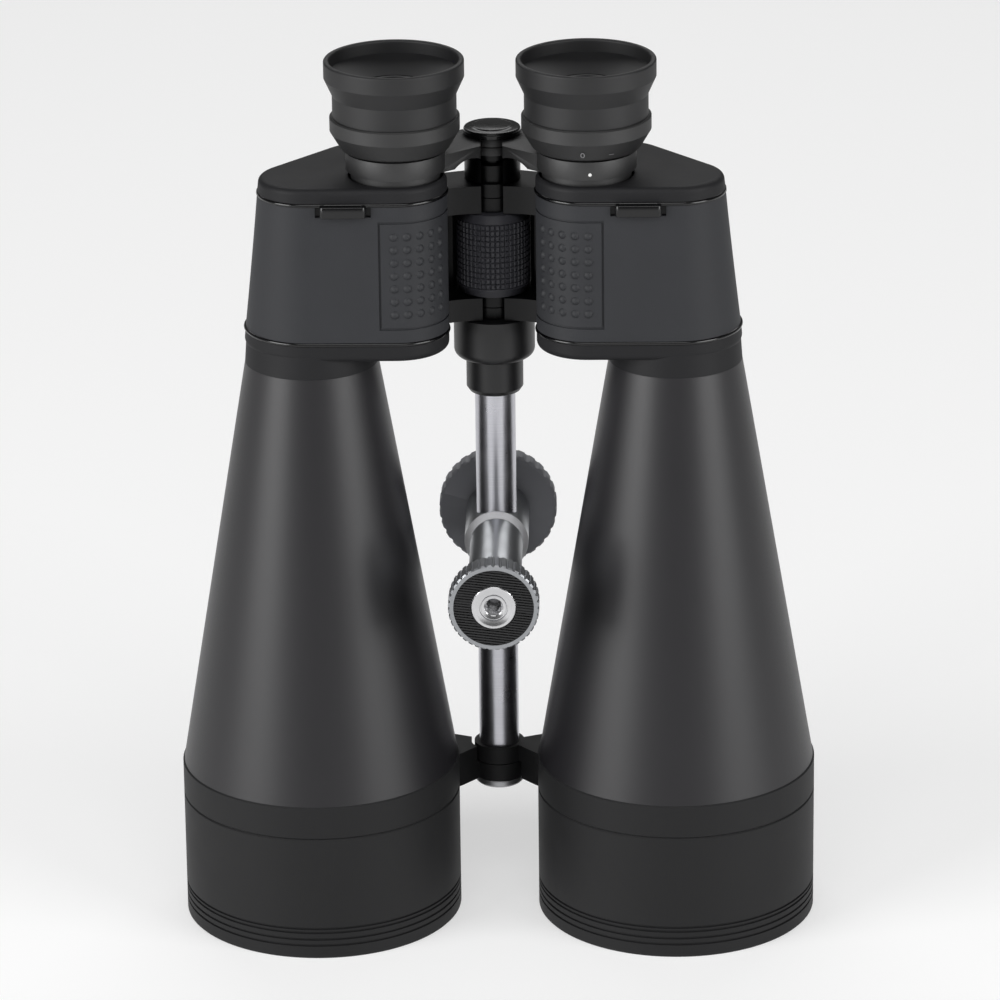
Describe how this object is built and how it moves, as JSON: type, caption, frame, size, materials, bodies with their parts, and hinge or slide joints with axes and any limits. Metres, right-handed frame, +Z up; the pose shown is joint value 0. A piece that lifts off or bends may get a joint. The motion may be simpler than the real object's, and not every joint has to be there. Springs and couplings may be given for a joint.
{
  "type": "binoculars",
  "caption": "Large porro-prism binoculars with conical barrels, a folding central hinge, a focus bridge, a dioptre eyepiece and a tripod carrier that slides on a chrome rod.",
  "frame": {"origin": "middle of the footprint, on the surface that the hoods stand on", "axes": "+Z up along the barrels towards the eyepieces, +X to the user's right, +Y away from the tripod side"},
  "size_m": [0.2216, 0.103, 0.312],
  "materials": {
    "armour_rubber": "matte, slightly cool",
    "black_metal": "satin black",
    "chrome": "polished, lightly brushed",
    "clear_glass": "polished",
    "coated_glass": "anti-reflection coated",
    "cover_rubber": "matte",
    "dark_metal": "dark, turned",
    "eyecup_rubber": "soft matte",
    "gloss_casting": "gloss black",
    "gloss_plastic": "gloss black",
    "hood_rubber": "matte, fine grained",
    "hub_plastic": "satin black",
    "knob_plastic": "matte dark grey",
    "ocular_plastic": "satin black",
    "plain_aluminium": "turned",
    "satin_paint": "satin black",
    "spring_steel": "ground",
    "wheel_rubber": "matte, knurled"
  },
  "bodies": {
    "centre_column": {"rod": "chrome", "end_cap": "dark_metal", "hub": "hub_plastic", "hinge_tube": "gloss_casting", "shaft_sleeve": "black_metal"},
    "left_half": {"left_hood": "hood_rubber", "left_cell_ring": "hood_rubber", "left_objective_retainer": "black_metal", "left_objective_front_lens": "coated_glass", "left_objective_rear_lens": "clear_glass", "left_barrel": "satin_paint", "left_bottom_cover": "cover_rubber", "left_prism_housing": "gloss_casting", "left_armour": "armour_rubber", "left_prism_shelf": "plain_aluminium", "left_upper_prism": "clear_glass", "left_lower_prism": "clear_glass", "left_prism_clips": "spring_steel", "left_top_cover": "cover_rubber", "left_strap_lug": "gloss_plastic"},
    "right_half": {"right_hood": "hood_rubber", "right_cell_ring": "hood_rubber", "right_objective_retainer": "black_metal", "right_objective_front_lens": "coated_glass", "right_objective_rear_lens": "clear_glass", "right_barrel": "satin_paint", "right_bottom_cover": "cover_rubber", "right_prism_housing": "gloss_casting", "right_armour": "armour_rubber", "right_prism_shelf": "plain_aluminium", "right_upper_prism": "clear_glass", "right_lower_prism": "clear_glass", "right_prism_clips": "spring_steel", "right_top_cover": "cover_rubber", "right_strap_lug": "gloss_plastic"},
    "wheel": {"focus_wheel": "wheel_rubber"},
    "focus_slide": {"focus_shaft": "spring_steel", "focus_pin": "spring_steel", "bridge_cap": "gloss_plastic"},
    "left_eyepiece": {"left_bridge_arm": "black_metal", "left_eyepiece_tube": "black_metal", "left_ocular": "ocular_plastic", "left_eyecup": "eyecup_rubber", "left_lens_cell": "black_metal", "left_eye_lens": "coated_glass", "left_field_lens": "clear_glass"},
    "right_eyepiece": {"right_bridge_arm": "black_metal", "right_eyepiece_tube": "black_metal"},
    "right_lenses": {"right_lens_cell": "black_metal", "right_eye_lens": "coated_glass", "right_field_lens": "clear_glass"},
    "dioptre": {"right_ocular": "ocular_plastic", "right_eyecup": "eyecup_rubber"},
    "tripod_carrier": {"carrier_post": "plain_aluminium", "foot": "plain_aluminium", "foot_pad": "wheel_rubber", "thread_bush": "chrome"},
    "clamp": {"clamp_shoe": "spring_steel"},
    "knob": {"lock_knob": "knob_plastic"}
  },
  "joints": [
    {"name": "left_fold", "type": "hinge", "parent": "centre_column", "child": "left_half", "pos_m": [0, 0.0185, 0], "axis": [0, 0, 1], "range_deg": [-10.6, 9.6]},
    {"name": "right_fold", "type": "hinge", "parent": "centre_column", "child": "right_half", "pos_m": [0, 0.0185, 0], "axis": [0, 0, 1], "range_deg": [-9.6, 10.6]},
    {"name": "focus_lift", "type": "slide", "parent": "centre_column", "child": "focus_slide", "axis": [0, 0, 1], "range_m": [0, 0.0074]},
    {"name": "focus_turn", "type": "hinge", "parent": "centre_column", "child": "wheel", "pos_m": [0, 0.0185, 0], "axis": [0, 0, 1], "range_deg": [0, 333.1]},
    {"name": "left_eyepiece_lift", "type": "slide", "parent": "left_half", "child": "left_eyepiece", "axis": [0, 0, 1], "range_m": [0, 0.00741]},
    {"name": "right_eyepiece_lift", "type": "slide", "parent": "right_half", "child": "right_eyepiece", "axis": [0, 0, 1], "range_m": [0, 0.00741]},
    {"name": "dioptre_shift", "type": "slide", "parent": "right_eyepiece", "child": "right_lenses", "axis": [0, 0, 1], "range_m": [-0.00079, 0.00079]},
    {"name": "dioptre_turn", "type": "hinge", "parent": "right_lenses", "child": "dioptre", "pos_m": [0.0323, -0.0045, 0], "axis": [0, 0, 1], "range_deg": [-35, 35]},
    {"name": "carrier_slide", "type": "slide", "parent": "centre_column", "child": "tripod_carrier", "axis": [0, 0, 1], "range_m": [-0.058, 0.0425]},
    {"name": "clamp_shift", "type": "slide", "parent": "tripod_carrier", "child": "clamp", "axis": [0, 1, 0], "range_m": [0, 0.00126]},
    {"name": "knob_turn", "type": "hinge", "parent": "clamp", "child": "knob", "pos_m": [0, 0.0185, 0.132], "axis": [0, 1, 0], "range_deg": [0, 360]}
  ],
  "couplings": [
    {"joint": "right_fold", "follows": "left_fold", "ratio": -1},
    {"joint": "focus_turn", "follows": "focus_lift", "rad_per_m": 785.4},
    {"joint": "left_eyepiece_lift", "follows": "focus_lift", "ratio": 1},
    {"joint": "right_eyepiece_lift", "follows": "focus_lift", "ratio": 1},
    {"joint": "dioptre_shift", "follows": "dioptre_turn", "m_per_rad": 0.0012732},
    {"joint": "clamp_shift", "follows": "knob_turn", "m_per_rad": 0.00019894}
  ]
}
